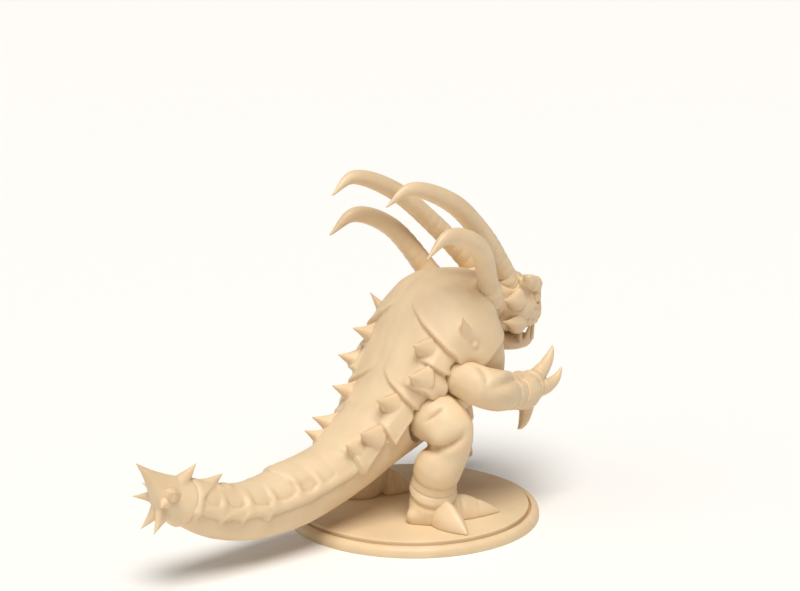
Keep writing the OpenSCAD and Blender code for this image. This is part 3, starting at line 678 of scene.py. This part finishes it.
def closed_sheet(name, upper, under):
    """A closed slab between two grids of points"""
    bm = bmesh.new()
    upper, under = ([[bm.verts.new(Vector(p * MM)) for p in row] for row in grid] for grid in (upper, under))
    tall, wide = len(upper), len(upper[0])
    for i in range(tall - 1):
        for j in range(wide - 1):
            bm.faces.new((upper[i][j], upper[i][j + 1], upper[i + 1][j + 1], upper[i + 1][j]))
            bm.faces.new((under[i][j], under[i + 1][j], under[i + 1][j + 1], under[i][j + 1]))
    rim = [(i, 0) for i in range(tall)] + [(tall - 1, j) for j in range(1, wide)]
    rim += [(i, wide - 1) for i in range(tall - 2, -1, -1)] + [(0, j) for j in range(wide - 2, 0, -1)]
    for (i, j), (k, m) in zip(rim, rim[1:] + rim[:1]):
        bm.faces.new((upper[i][j], upper[k][m], under[k][m], under[i][j]))
    bmesh.ops.recalc_face_normals(bm, faces=bm.faces[:])
    return from_bmesh(name, bm)


def shells(name):
    """The right flank's six lapped plates as one sheet over the skin, with their thorns"""
    steps_s, steps_turn = np.arange(35.5, 80.6, 0.22), np.arange(-22, 91.1, 1.1)
    grid_s, grid_turn = np.meshgrid(steps_s, steps_turn, indexing="ij")
    skin = np.array([[np.concatenate(on_body(hide_tree, s, turn)) for turn in steps_turn] for s in steps_s])
    skin, out = skin[..., :3], skin[..., 3:]
    for _ in range(6):  # the rays fan apart at the bends, so their normals are evened
        out[1:-1] = out[:-2] + out[1:-1] * 2 + out[2:]
        out /= np.linalg.norm(out, axis=2)[..., None]
    rise = 0.3 * ease((60 - grid_turn) / 40)
    for rear, edge in zip(REARS, RISES):
        ahead = grid_s - np.interp(grid_turn, *rows_of(rear))
        proud = np.interp(grid_turn, *rows_of(edge))
        rise += proud * ease(ahead / 0.4) * (1 - ease((ahead - 0.3) / 9))
        rise += 0.2 * proud * swell(ahead - 0.75, 0.5)
    low = np.interp(grid_s, *zip(*LOWER))
    rise += 0.2 * swell(grid_turn - low - 5.5, 3)
    thorns = []
    roots = [place(*POINTS["plate_thorn_%d" % k], hide_tree) for k in range(1, 6)]
    roots.append(on_body(hide_tree, *REAR_THORN)[0])
    for k, (root, (lean, high, wide, big, shift)) in enumerate(zip(roots, PLATE_THORNS), 1):
        near = np.linalg.norm(skin - root, axis=2)
        i, j = np.unravel_index(np.argmin(near), near.shape)
        way, lean = out[i, j], np.array(lean)
        rise += 0.7 * big * swell(near, 2.5 * big)
        root = root + way * (rise[i, j] - 0.5) - shift * RIGHT
        shown["plate_thorn_%d" % k] = (name, root + way * 1.2 + lean * 0.3)
        tip = root + (way * high + lean) * big
        thorns.append(thorn(root - lean * 0.3, tip, wide * big, bend=-lean * 0.06, sink=1.3, ridge=0.5,
                            ridge_way=(0.5, -0.2, 1), flare=1.35))
    # the small round boss in its pit, beside the front thorn
    near = np.linalg.norm(skin - place(*BOSS, hide_tree), axis=2)
    rise += 0.75 * swell(near, 0.6) - 0.6 * swell(near, 1.25)
    rise *= ease((89 - grid_turn) / 22)
    inside = ease((grid_turn - low) / 3.2)
    inside = np.minimum(inside, ease((79.6 - grid_s) / 0.6))
    rear_end = np.interp(grid_turn, *rows_of(REARS[-1]))
    ended = ease((grid_s - rear_end + 0.4) / 0.4)
    ended = np.maximum(ended, ease((grid_turn - 26) / 14) * ease((grid_s - 36) / 3))
    inside = np.minimum(inside, ended)
    feather = ease((89 - grid_turn) / 10)
    top = rise * inside - 0.75 * (1 - inside) - 0.12 * (1 - feather)
    sheet = closed_sheet("sheet", skin + out * top[..., None], skin - out * PLATE_WALL)
    piece = fuse(name, [sheet] + thorns)
    remesh(piece, 0.2, 3)
    return piece


right_shells = shells("flank_plates_right_cast")
for name, tip_s, tip_turn in (("middle", 54.1, -1), ("rear", 46.7, 1)):
    skin_at, skin_out = on_body(hide_tree, tip_s, tip_turn)
    shown[name + "_plate_tip"] = ("flank_plates_right_cast", skin_at + skin_out * 0.8)
finish_pair(right_shells, SKIN, "flank_plates_right")

# ---- limbs ----

HIP_SEAT, SHOULDER_SEAT = 5.5, 8.2  # how far out from the middle the limbs start
KNEE_SEAM = ((-2.4, -12.5, 16.4), (-0.2719, 0.1534, -0.95))
ANKLE_SEAM = ((-3.8, -10, 9), (0.083, 0.319, -0.9441))
ELBOW_SEAM = ((7, -15.5, 27.5), (0.9292, 0.113, -0.3518))
WRIST_SEAM = ((13.387, -14.026, 25.04), (0.9124, 0.2106, -0.3509))
DECK = 2.61  # the raised disc's top and a hair over it, where the feet and claws stand


def seen_at(points, tree):
    """The places of a surface that show at image points"""
    return [place(x, y, tree) for x, y in points]


leg = clay("leg", ["thigh_right", "shin_right", "foot_right"], 0.22, 55, [((0, -HIP_SEAT, 0), (0, 1, 0))])
leg_tree = tree_of(leg)
at, _ = grab(leg)
# the seam where the thigh's ball meets its knee is rubbed away
seam = [(462, 411), (452, 412), (445, 415), (439, 422), (435.5, 433), (435, 444)]
far, _ = along(at, seen_at(seam, leg_tree))
rub = leg.vertex_groups.new(name="rub")
for index in np.flatnonzero(far < 3):
    rub.add([int(index)], float(swell(far[index], 1.5)), "REPLACE")
modify(leg, "SMOOTH", factor=0.6, iterations=90, vertex_group="rub")
leg.vertex_groups.clear()
at, out = grab(leg)
for points, depth, width, ends in (
    # the fold under the thigh, the muscle over it, and the crease on the thigh's ball
    ([(414, 442), (424, 446), (436, 448.5), (449, 447), (460, 441), (468, 431)], 1.1, 0.95, 0.25),
    ([(424, 438), (436, 439), (449, 436)], -0.6, 2.2, 0.5),
    ([(422.6, 424), POINTS["thigh_crease"], (446.5, 406.5)], 0.5, 0.5, 0.35),
):
    at = furrow(at, out, seen_at(points, leg_tree), depth, width, ends)
shown["thigh_crease"] = ("thigh_right_hide", place(*POINTS["thigh_crease"], leg_tree))
# the ankle's cuff and the folds over and under it
ankle, down = np.array(ANKLE_SEAM[0]), np.array(ANKLE_SEAM[1])
drop = (at - ankle) @ down
near_ankle = 1 - ease((np.linalg.norm(at - ankle, axis=1) - 5.6) / 1.2)
cuff = 0.36 * ease((drop + 1.9) / 1.5) * (1 - ease((drop - 0.7) / 0.9)) - 0.25 * swell(drop + 2.3, 0.5)
cuff -= 0.18 * swell(drop - 1.7, 0.5) + 0.12 * swell(drop + 0.5, 0.3)
at = at + out * (cuff * near_ankle)[:, None]
# tendons down to each toe, with a fold at each knuckle
foot_at = np.array([-4, -10, 2.6])
for turn_by, reach in ((-98, 4.4), (-30, 4.6), (30, 4.4)):
    a = math.radians(turn_by)
    toe_way = np.array([math.cos(a), math.sin(a), 0])
    tendon = [foot_at + toe_way * 1.5 + [0, 0, 5.4], foot_at + toe_way * (reach + 1) + [0, 0, 3.6]]
    at = furrow(at, out, tendon, -0.3, 0.6, 0.3)
    forward = (at - foot_at) @ toe_way
    beside = np.linalg.norm((at - foot_at)[:, :2] - forward[:, None] * toe_way[:2], axis=1)
    fold = 0.22 * swell(forward - reach, 0.28) * (1 - ease((beside - 2.4) / 0.8))
    fold *= ease((at[:, 2] - 3.2) / 1) * (1 - ease((at[:, 2] - 6.4) / 1))
    at = at - out * fold[:, None]
at = uneven(at, out, 6, 0.1, 2)
# the sole reaches down to the deck and stands flat on it
at[:, 2] = np.where(at[:, 2] < 3.6, 3.6 - (3.6 - at[:, 2]) * 1.5, at[:, 2])
at[:, 2] = np.maximum(at[:, 2], DECK)
put(leg, at)
shown["near_cuff"] = ("shin_right_hide", place(*POINTS["near_cuff"], tree_of(leg)))
leg_parts = [
    part_of(leg, "thigh_right_hide", [KNEE_SEAM]),
    part_of(leg, "shin_right_hide", [back_of(KNEE_SEAM), ANKLE_SEAM]),
    part_of(leg, "foot_right_hide", [back_of(ANKLE_SEAM)]),
]

arm = clay("arm", ["upper_arm_right", "forearm_right", "hand_right"], 0.18, 55,
           [((0, -SHOULDER_SEAT, 0), (0, 1, 0))])
arm_tree = tree_of(arm)
at, out = grab(arm)
for points, depth, width, ends in (
    # the fold at the shoulder, the forearm's groove and the ridge over it, and the muscle under them
    ([(473, 365), (482, 369), (487, 378), (485, 391)], 0.5, 0.8, 0.35),
    ([(484, 392), (498, 386), (513, 379), (529, 372)], 0.7, 1.0, 0.3),
    ([(486, 384), (500, 378), (515, 371), (531, 364)], -0.75, 1.0, 0.3),
    ([(494, 396), (508, 393), (520, 389)], -0.35, 1.3, 0.4),
):
    at = furrow(at, out, seen_at(points, arm_tree), depth, width, ends)
# the folds round the wrist
wrist, ahead = np.array(WRIST_SEAM[0]), np.array(WRIST_SEAM[1])
drop = (at - wrist) @ ahead
near_wrist = 1 - ease((np.linalg.norm(at - wrist, axis=1) - 3.6) / 1)
folds = 0.3 * swell(drop + 0.5, 0.9) - 0.25 * swell(drop + 1.9, 0.3) - 0.2 * swell(drop - 1.2, 0.3)
at = at + out * (folds * near_wrist)[:, None]
palm = np.array([17.79, -12.73, 24.44])
# each finger: its end from the palm, the way its claw leaves it, and the way that claw hooks
FINGERS = [
    ((5.6, 1.4, 2.2), (0.85, 0.1, 0.5), (0.35, 0.1, 0.85)), ((5.4, 0.5, -0.3), (1, 0, 0), (0.5, 0, 0.95)),
    ((2.2, 1.2, -2.8), (-0.1, 0, -1), (-0.6, 0, -0.3)),
]
for end, _, _ in FINGERS:  # a knuckle and the fold after it
    end, reach = np.array(end), np.linalg.norm(end)
    forward = (at - palm) @ (end / reach)
    beside = np.linalg.norm(at - palm - forward[:, None] * end / reach, axis=1)
    fold = 0.35 * swell(forward - reach * 0.62, 0.7) - 0.3 * swell(forward - reach * 0.86, 0.25)
    at = at + out * (fold * (1 - ease((beside - 2.1) / 0.5)))[:, None]
at = uneven(at, out, 6, 0.08, 3)
put(arm, at)
arm_parts = [
    part_of(arm, "upper_arm_right_hide", [ELBOW_SEAM]),
    part_of(arm, "forearm_right_hide", [back_of(ELBOW_SEAM), WRIST_SEAM]),
    part_of(arm, "hand_right_hide", [back_of(WRIST_SEAM)]),
]
for piece in leg_parts + arm_parts:
    finish_pair(piece, SKIN, piece.name.replace("_hide", ""))
bpy.data.objects.remove(leg)
bpy.data.objects.remove(arm)

# ---- horns, claws and the smaller castings ----

HORN_RADIUS, RING_GAP, RING_DEPTH = 2.2, 2.1, 0.055  # the depth is a share of the radius


def horn(name, root, way, reach, path, shares, rings):
    """A horn that sweeps back: ringed near its root, ridged along its outer curve, flattened inside"""
    root, way = np.array(root), np.array(way)
    start = root + way * 2.6
    line = [np.append(root - way * 2.2, 2.9), np.append(root + way * 0.4, 2.75),
            np.append(start + way * 0.4, HORN_RADIUS)]
    line += [np.append(start + np.array(p) * reach, HORN_RADIUS * k) for p, k in zip(path, shares)]
    line = curve_through(line)
    far = np.concatenate([[0], np.cumsum(np.linalg.norm(np.diff(line[:, :3], axis=0), axis=1))])
    marks = np.linspace(0, far[-1], int(far[-1] / 0.28))
    line = np.array([np.interp(marks, far, line[:, k]) for k in range(4)]).T
    rows = []
    for (x, y, z, r), ahead, mark in zip(line, ways_along(line), marks):
        share = mark / far[-1]
        ring = max(0, math.cos(2 * math.pi * mark / RING_GAP)) ** 3
        r = r * (1 - RING_DEPTH * rings * (1 - ease((share - 0.3) / 0.35)) * ring)
        ridge = 0.16 * min(1, 4 * share) * (1 - share) + 0.05
        rows.append(((x, y, z), ahead, (0.35, -0.25, 1), r * 0.94, r, ridge))
    return lofted(name, rows, 32)


# each horn's root, first way, reach, path in shares of it, taper, and its rings' strength
HORNS = {
    "head_horn_right": (
        (20.5, -4.16, 45.15), (-0.461, -0.202, 0.864), 43,
        [(-0.18, -0.05, 0.2), (-0.39, -0.08, 0.375), (-0.63, -0.08, 0.47), (-0.77, -0.07, 0.41)],
        [0.9, 0.82, 0.6, 0.07], 1.0),
    "shoulder_horn_right": (
        (12.6, -8, 44.2), (-0.414, -0.317, 0.853), 27,
        [(-0.22, -0.13, 0.32), (-0.54, -0.17, 0.46), (-0.77, -0.19, 0.34)], [0.86, 0.66, 0.07], 0.8),
}
for casting, shape in HORNS.items():
    finish_pair(horn(casting + "_cast", *shape), HORN, casting, sharp=60)

# toe claws: ridged wedges that lap the toes and stand flat on the deck
TOE_LENGTH, TOE_START = 12.4, 6.3  # from the foot's middle
WEDGE_AT = [-0.7, -0.5, -0.1, 0.35, 0.7, 1]
WEDGE_HALF = [2.2, 2.8, 2.85, 2.2, 1.25, 0.2]
WEDGE_TALL = [3.3, 4.0, 3.8, 2.7, 1.5, 0.25]
# each toe's turn from straight ahead, its share of the length, and its creases' strength
TOES = {"near_toe_tip": (-98, 0.93, 0.35), "far_toe_tip": (-27, 1.1, 1), "third_toe_tip": (30, 0.85, 1)}
toes = []
for spot, (turn_by, share, creases) in TOES.items():
    a = math.radians(turn_by)
    toe_way = np.array([math.cos(a), math.sin(a), 0])
    tip, rows = TOE_LENGTH * share, []
    for t in np.linspace(-0.7, 1, 60):
        reach = TOE_START + (tip - TOE_START) * t
        half, tall = np.interp(t, WEDGE_AT, WEDGE_HALF), np.interp(t, WEDGE_AT, WEDGE_TALL)
        crease = 1 - creases * (0.07 * swell(t + 0.12, 0.08) + 0.07 * swell(t - 0.36, 0.06))
        middle = foot_at + toe_way * reach + [0, 0, 0.15]
        rows.append((middle, toe_way, (0, 0, 1), half * crease, tall * crease, 0.2))
    shown[spot] = ("toe_claws_right_cast", foot_at + toe_way * tip + [0, 0, 0.2])
    wedge = lofted("wedge", rows, 28)
    toes.append(part_of(wedge, "claw", [((0, 0, DECK), (0, 0, -1))]))
    bpy.data.objects.remove(wedge)
toes = fuse("toe_claws_right_cast", toes)
remesh(toes, 0.16, 4, every_shell=True)
finish_pair(toes, HORN, "toe_claws_right")

# finger claws: each leaves its finger straight, then hooks to a point. How far along both ways, radius
HOOK = [(-0.9, 0, 1.5), (0, 0, 1.62), (1.5, 0.1, 1.36), (2.9, 0.9, 1.02), (3.4, 2.1, 0.58), (3.4, 3.4, 0.1)]
claws = []
for end, way, hook in FINGERS:
    way, hook = np.array(way), np.array(hook)
    root = palm + end + way / np.linalg.norm(way) * 0.8
    line = curve_through([np.append(root + way * w + hook * h, r) for w, h, r in HOOK], 6)
    rows = [(row[:3], ahead, way - hook, row[3] * 0.9, row[3], 0.2)
            for row, ahead in zip(line, ways_along(line))]
    claws.append(lofted("claw", rows))
claws = fuse("finger_claws_right_cast", claws)
remesh(claws, 0.12, 3, every_shell=True)
finish_pair(claws, HORN, "finger_claws_right")

# the tail's knob: thorns with broad feet that web into each other round a small middle
KNOB, KNOB_ROOT = np.array([-59.41, 0, 17.3]), np.array([-56, 0, 15.4])
KNOB_BACK, KNOB_UP = np.array([-0.873, 0, 0.487]), np.array([0.487, 0, 0.873])
KNOB_RINGS = [(0.05, 4.45), (0.8, 4.35), (1.8, 4.0), (3, 3.6), (4.4, 3.1), (5.8, 2.3), (6.6, 1.2)]
SPIKE_REACH = 10.5
# each spike's turn round the tail, its lean backwards, its share of the reach, its foot's width
SPIKES = [
    (90, 68, 0.98, 3.6), (90, -24, 0.8, 3.4), (14, 46, 0.5, 2.4), (165, 30, 0.64, 2.9),
    (-25, 40, 0.6, 2.5), (205, 40, 0.56, 2.6), (-74, 10, 0.7, 2.9), (254, 10, 0.7, 2.9),
]
rows = [(KNOB_ROOT + KNOB_BACK * d, KNOB_BACK, KNOB_UP, r, r, 0.0) for d, r in KNOB_RINGS]
core = [lofted("core", rows, 32)]
for round_by, back_by, share, wide in SPIKES:
    a, b = math.radians(round_by), math.radians(back_by)
    way = KNOB_BACK * math.sin(b) + (KNOB_UP * math.sin(a) + np.array([0, 1, 0]) * math.cos(a)) * math.cos(b)
    core.append(thorn(KNOB + way * 0.9, KNOB + way * SPIKE_REACH * share, wide, sink=1.4, ridge=0.5,
                      flare=1.5, bend=-KNOB_BACK * 0.25 + KNOB_UP * 0.15,
                      ridge_way=-KNOB_BACK + KNOB_UP * 0.4))
knob = fuse("tail_knob_cast", core)
remesh(knob, 0.17, 9)
finish_piece(knob, HORN, "tail_knob")


def both_halves(name, pieces, relax):
    """One casting of separate pieces and their mirrored copies"""
    half = fuse("half", pieces)
    whole = fuse(name, [half, other_side(half, "other_half")])
    remesh(whole, 0.14, relax, every_shell=True)
    return whole


# cheek thorns, with feet that lie flush on the skin
cheeks = []
for root in np.array([(19.9, 7.36, 41.35), (20.5, 7.04, 36.75)]):
    cheeks.append(thorn(root + [0.8, -0.6, -0.2], root + [-5.0, 1.9, 1.6], 2.4, bend=(0.2, 0.7, -0.1),
                        ridge=0.45, ridge_way=(0.2, 0.3, 1), flare=1.5))
finish_piece(both_halves("cheek_spikes_cast", cheeks, 3), HORN, "cheek_spikes")

# brows: keeled ridges from the horns over the eyes to the snout, with two small knobs on each
BROW = [(22.6, 6.1, 44.6, 0.8), (24.6, 6.5, 44.6, 1.35), (26.8, 6.0, 43.5, 1.5), (28.7, 4.7, 41.9, 1.25),
        (30.2, 2.9, 39.9, 0.9), (31.0, 1.6, 38.7, 0.35)]  # x, y, z, radius
brow_line = curve_through(BROW, 6)
rows = []
for k, ((x, y, z, r), ahead) in enumerate(zip(brow_line, ways_along(brow_line))):
    r *= 0.92 + 0.16 * (1 - k / 5.0 % 1) * ease(k / 4)  # lapped scales, each thickest at its front edge
    rows.append(((x, y, z), ahead, (0.35, 0.75, 0.8), r * 0.95, r, 0.35))
brows = [lofted("brow", rows, 28),
         thorn((24.3, 6.4, 44.6), (21.9, 8.2, 46.6), 1.5, bend=(0.3, 0.1, 0), sink=0.8, ridge=0.3),
         thorn((26.8, 6.0, 43.7), (25.4, 7.6, 45.5), 1.1, bend=(0.2, 0.1, 0), sink=0.7, ridge=0.3)]
finish_piece(both_halves("brow_ridges_cast", brows, 4), SKIN, "brow_ridges")

# eyes: smooth balls with a slit pupil pressed in
eyes = clay("eyes_cast", ["eyes"], 0.1, 4, every_shell=True)
at, out = grab(eyes)
eye_way = np.array([0.75, 0.62, -0.05])
for side in (1, -1):
    middle = np.array([EYE_X, EYE_Y * side, EYE_Z]) + eye_way * [1, side, 1] * 1.6
    at = furrow(at, out, [middle + [0, 0, -0.9], middle, middle + [0, 0, 0.9]], 0.28, 0.22, 0.4)
put(eyes, at)
finish_piece(eyes, SMOOTH, "eyes")

for casting, grain, relax in (("lower_jaw", 0.14, 12), ("loin_guard", 0.15, 6)):
    finish_piece(clay(casting + "_cast", [casting], grain, relax, every_shell=True), SKIN, casting)

# ---- the base: a lower step with a rounded rim, a raised disc set into it, and a fine groove between ----

BASE_RADIUS, STEP_TOP, RECESS_RADIUS, RECESS_DEPTH = 25, 2.0, 23.4, 0.55
INSERT_RADIUS, INSERT_FLOOR, INSERT_TOP = 22.9, 1.5, 2.6
CLOSE = 0.1  # how near to a radius or a height counts as at it


def disc(name, radius, low, high):
    """A flat round block, to be shaped in edit mode"""
    bpy.ops.object.select_all(action="DESELECT")
    bpy.ops.mesh.primitive_cylinder_add(vertices=192, radius=radius * MM, depth=(high - low) * MM,
                                        location=(0, 0, (low + high) / 2 * MM))
    piece = bpy.context.object
    piece.name = name
    bpy.ops.object.transform_apply(location=True)
    return piece


def pick(piece, parts, radius, height):
    """Selects level faces or edges whose middle is at a radius and a height, for the next operator"""
    bpy.ops.object.mode_set(mode="EDIT")
    bpy.ops.mesh.select_mode(type="FACE" if parts == "polygons" else "EDGE")
    bpy.ops.mesh.select_all(action="DESELECT")
    bpy.ops.object.mode_set(mode="OBJECT")
    for part in getattr(piece.data, parts):
        ends = [piece.data.vertices[i].co / MM for i in part.vertices]
        middle = sum(ends, Vector()) / len(ends)
        level = max(end.z for end in ends) - min(end.z for end in ends) < 0.001
        part.select = level and abs(middle.xy.length - radius) < CLOSE and abs(middle.z - height) < CLOSE
    bpy.ops.object.mode_set(mode="EDIT")


plinth = disc("base_plinth_cast", BASE_RADIUS, 0, STEP_TOP)
pick(plinth, "polygons", 0, STEP_TOP)
bpy.ops.mesh.inset(thickness=(BASE_RADIUS - RECESS_RADIUS) * MM)
bpy.ops.mesh.extrude_region_move(TRANSFORM_OT_translate={"value": (0, 0, -RECESS_DEPTH * MM)})
for radius, height, rounding, segments in (
    (BASE_RADIUS, STEP_TOP, 1.2, 8), (RECESS_RADIUS, STEP_TOP, 0.25, 4), (BASE_RADIUS, 0, 0.12, 2),
):
    pick(plinth, "edges", radius, height)
    bpy.ops.mesh.bevel(offset=rounding * MM, segments=segments)
bpy.ops.object.mode_set(mode="OBJECT")
insert = disc("base_insert_cast", INSERT_RADIUS, INSERT_FLOOR, INSERT_TOP)
pick(insert, "edges", INSERT_RADIUS, INSERT_TOP)
bpy.ops.mesh.bevel(offset=0.22 * MM, segments=4)
bpy.ops.object.mode_set(mode="OBJECT")
finish_piece(plinth, BASE, "base_plinth", sharp=50)
finish_piece(insert, BASE, "base_insert", sharp=50)

# ---- floor and light ----

bpy.ops.mesh.primitive_plane_add(size=6, location=(0, 0, 0))
floor = bpy.context.object
floor.name = "studio_floor"
# plain matt backdrop paper, a warm white
paper = bpy.data.materials.new("studio_paper")
paper.use_nodes = True
paper.node_tree.nodes["Principled BSDF"].inputs["Base Color"].default_value = paint("#f7f5f2")
paper.node_tree.nodes["Principled BSDF"].inputs["Roughness"].default_value = 0.9
floor.data.materials.append(paper)


def softbox(name, way, strength, spread, colour):
    """A far soft lamp; its way is in the camera's right, the world's up and the camera's back axes"""
    lamp = bpy.data.lights.new(name, "SUN")
    lamp.energy, lamp.angle, lamp.color = strength, math.radians(spread), paint(colour)[:3]
    holder = bpy.data.objects.new(name, lamp)
    bpy.context.scene.collection.objects.link(holder)
    way = way[0] * RIGHT + way[1] * np.array([0, 0, 1]) + way[2] * BACK
    holder.rotation_euler = Vector(way).to_track_quat("Z", "Y").to_euler()


softbox("key_lamp", (0.06, 1.25, 0.62), 2.9, 36, "#fffdf9")
softbox("fill_lamp", (-0.9, 0.8, 0.4), 0.5, 60, "#fffdf9")
world = bpy.data.worlds.new("studio")
bpy.context.scene.world = world
world.use_nodes = True
world.node_tree.nodes["Background"].inputs["Color"].default_value = paint("#f6f8ff")
world.node_tree.nodes["Background"].inputs["Strength"].default_value = 0.18
bpy.context.scene.view_settings.view_transform = "Standard"
bpy.context.scene.view_settings.look = "None"

# ---- what the finished model measures ----

bpy.context.view_layer.update()
seen = [piece for piece in bpy.context.scene.objects
        if piece.type == "MESH" and piece is not floor and not piece.hide_render]
outline = np.vstack([in_image(grab(piece)[0]) for piece in seen])
base_rim = in_image(grab(finished["base_plinth_cast"])[0])
for name, (piece_name, spot) in shown.items():
    points, _ = grab(finished[piece_name])
